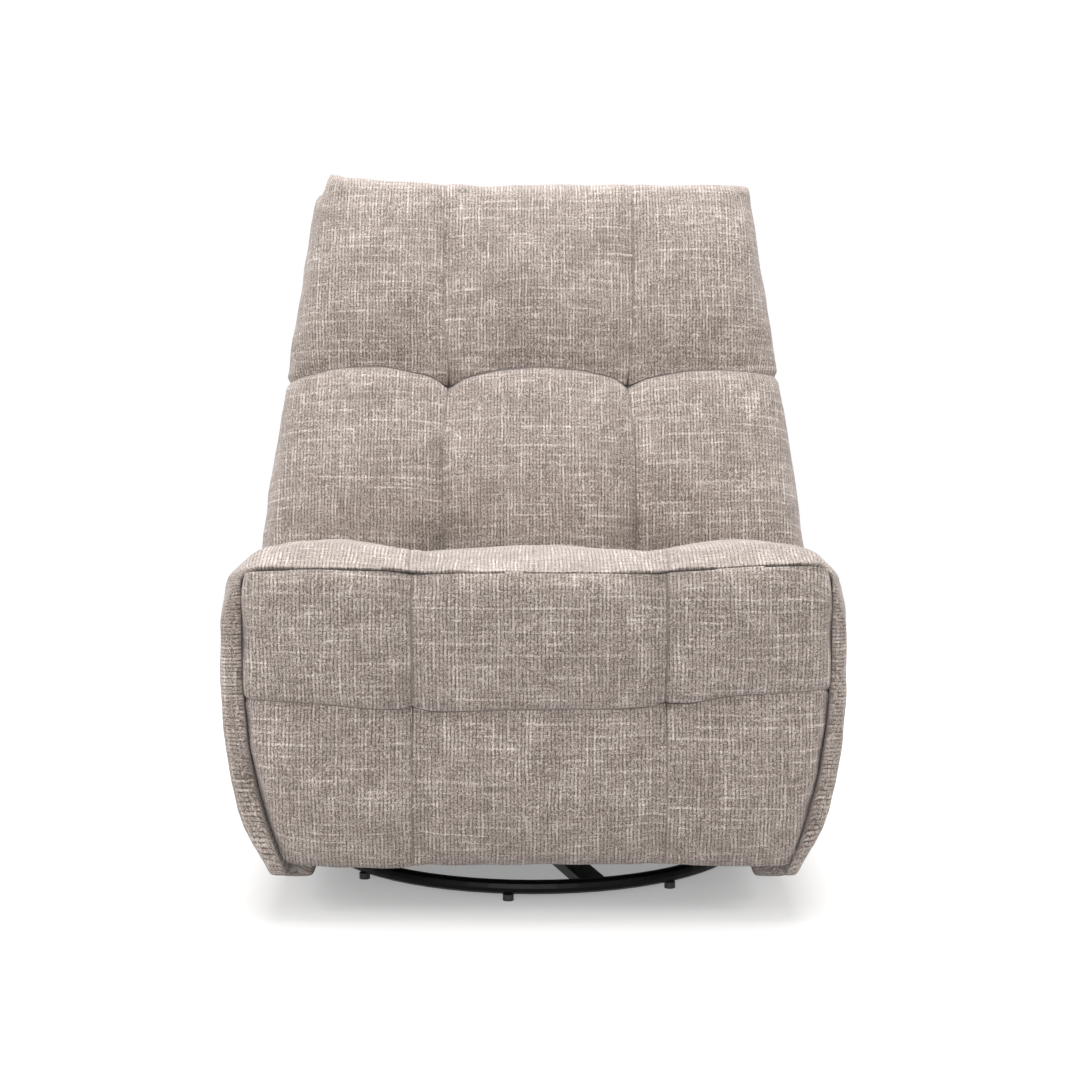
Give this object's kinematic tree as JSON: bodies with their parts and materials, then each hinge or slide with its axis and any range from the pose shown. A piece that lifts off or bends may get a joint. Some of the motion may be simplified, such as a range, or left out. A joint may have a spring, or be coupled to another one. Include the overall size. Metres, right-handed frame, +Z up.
{
  "type": "manual recliner",
  "caption": "Armless upholstered swivel recliner on a round tube base, with a tufted back, a gliding seat and a fold-out footrest worked by a recessed side handle.",
  "frame": {"origin": "on the floor, under the middle of the closed chair's bounding box", "axes": "+X towards the sitter's left (the right of the picture), -Y towards the front, +Z up"},
  "size_m": [0.852, 0.9193, 1.0055],
  "materials": {
    "black_steel": "satin",
    "zinc_steel": "satin",
    "spring_steel": "satin",
    "plywood": "matte",
    "fabric": "matte",
    "black_plastic": "matte"
  },
  "bodies": {
    "base": {"base_ring": "black_steel", "base_spokes": "black_steel", "floor_glide_1": "black_plastic", "floor_glide_2": "black_plastic", "floor_glide_3": "black_plastic", "floor_glide_4": "black_plastic", "floor_glide_5": "black_plastic", "floor_glide_6": "black_plastic", "floor_glide_7": "black_plastic", "floor_glide_8": "black_plastic", "swivel_post": "zinc_steel", "bearing_lower_race": "zinc_steel"},
    "swivel": {"bearing_upper_race": "zinc_steel", "swivel_platform": "black_steel", "glider_bracket_left": "black_steel", "glider_bracket_right": "black_steel"},
    "glide_front": {"glider_link_front_left": "zinc_steel", "glider_link_front_right": "zinc_steel"},
    "glide_rear": {"glider_link_rear_left": "zinc_steel", "glider_link_rear_right": "zinc_steel"},
    "seat": {"seat_hanger_left": "black_steel", "seat_hanger_right": "black_steel", "cross_tube_front": "black_steel", "cross_tube_rear": "black_steel", "mechanism_plate_left": "black_steel", "mechanism_plate_right": "black_steel", "side_board_left": "plywood", "side_board_right": "plywood", "front_seat_rail": "plywood", "rear_seat_rail": "plywood", "seat_spring_1": "spring_steel", "seat_spring_2": "spring_steel", "seat_spring_3": "spring_steel", "seat_cushion": "fabric", "side_pad_left": "fabric", "side_pad_right": "fabric", "rear_panel": "fabric", "latch_cup": "black_plastic", "release_cable": "black_plastic", "footrest_spring_left": "spring_steel", "footrest_spring_right": "spring_steel"},
    "back": {"back_frame": "plywood", "back_arm_left": "zinc_steel", "back_arm_right": "zinc_steel", "back_pad": "fabric", "outer_back": "fabric"},
    "front_links": {"front_link_left": "zinc_steel", "front_link_right": "zinc_steel", "torsion_tube": "zinc_steel"},
    "rear_links": {"rear_link_left": "zinc_steel", "rear_link_right": "zinc_steel"},
    "upper_links": {"upper_link_left": "zinc_steel", "upper_link_right": "zinc_steel"},
    "lower_links": {"lower_link_left": "zinc_steel", "lower_link_right": "zinc_steel"},
    "footrest": {"footrest_board": "plywood", "footrest_pad": "fabric", "footrest_bracket_left": "zinc_steel", "footrest_bracket_right": "zinc_steel"},
    "lever": {"latch_lever": "black_plastic"}
  },
  "joints": [
    {"name": "swivel_turn", "type": "hinge", "parent": "base", "child": "swivel", "pos_m": [0, -0.036, 0.034], "axis": [0, 0, 1], "continuous": true},
    {"name": "glide", "type": "hinge", "parent": "swivel", "child": "glide_front", "pos_m": [0, -0.146, 0.2], "axis": [1, 0, 0], "range_deg": [-18, 18]},
    {"name": "seat_level", "type": "hinge", "parent": "glide_front", "child": "seat", "pos_m": [0, -0.146, 0.105], "axis": [1, 0, 0], "range_deg": [-18, 18]},
    {"name": "glide_rear_swing", "type": "hinge", "parent": "swivel", "child": "glide_rear", "pos_m": [0, 0.074, 0.2], "axis": [1, 0, 0], "range_deg": [-18, 18]},
    {"name": "recline", "type": "hinge", "parent": "seat", "child": "back", "pos_m": [0, 0.164, 0.36], "axis": [-1, 0, 0], "range_deg": [0, 40]},
    {"name": "footrest_open", "type": "hinge", "parent": "seat", "child": "front_links", "pos_m": [0, -0.226, 0.285], "axis": [-1, 0, 0], "range_deg": [0, 84]},
    {"name": "rear_link_swing", "type": "hinge", "parent": "seat", "child": "rear_links", "pos_m": [0, -0.1883, 0.2478], "axis": [-1, 0, 0], "range_deg": [0, 84]},
    {"name": "upper_link_swing", "type": "hinge", "parent": "front_links", "child": "upper_links", "pos_m": [0, -0.20927, 0.12588], "axis": [-1, 0, 0], "range_deg": [-126, 0]},
    {"name": "lower_link_swing", "type": "hinge", "parent": "front_links", "child": "lower_links", "pos_m": [0, -0.20405, 0.07615], "axis": [-1, 0, 0], "range_deg": [-126, 0]},
    {"name": "footrest_tilt", "type": "hinge", "parent": "upper_links", "child": "footrest", "pos_m": [0, -0.3107, 0.34339], "axis": [-1, 0, 0], "range_deg": [0, 126]},
    {"name": "lever_pull", "type": "hinge", "parent": "seat", "child": "lever", "pos_m": [-0.421, -0.176, 0.3], "axis": [0, 0, 1], "range_deg": [0, 30], "stiffness_Nm_per_rad": 0.4, "springref_deg": -9.74}
  ],
  "couplings": [
    {"joint": "seat_level", "follows": "glide", "ratio": -1},
    {"joint": "glide_rear_swing", "follows": "glide", "ratio": 1},
    {"joint": "rear_link_swing", "follows": "footrest_open", "ratio": 1},
    {"joint": "upper_link_swing", "follows": "footrest_open", "ratio": -1.5},
    {"joint": "lower_link_swing", "follows": "footrest_open", "ratio": -1.5},
    {"joint": "footrest_tilt", "follows": "footrest_open", "ratio": 1.5}
  ]
}
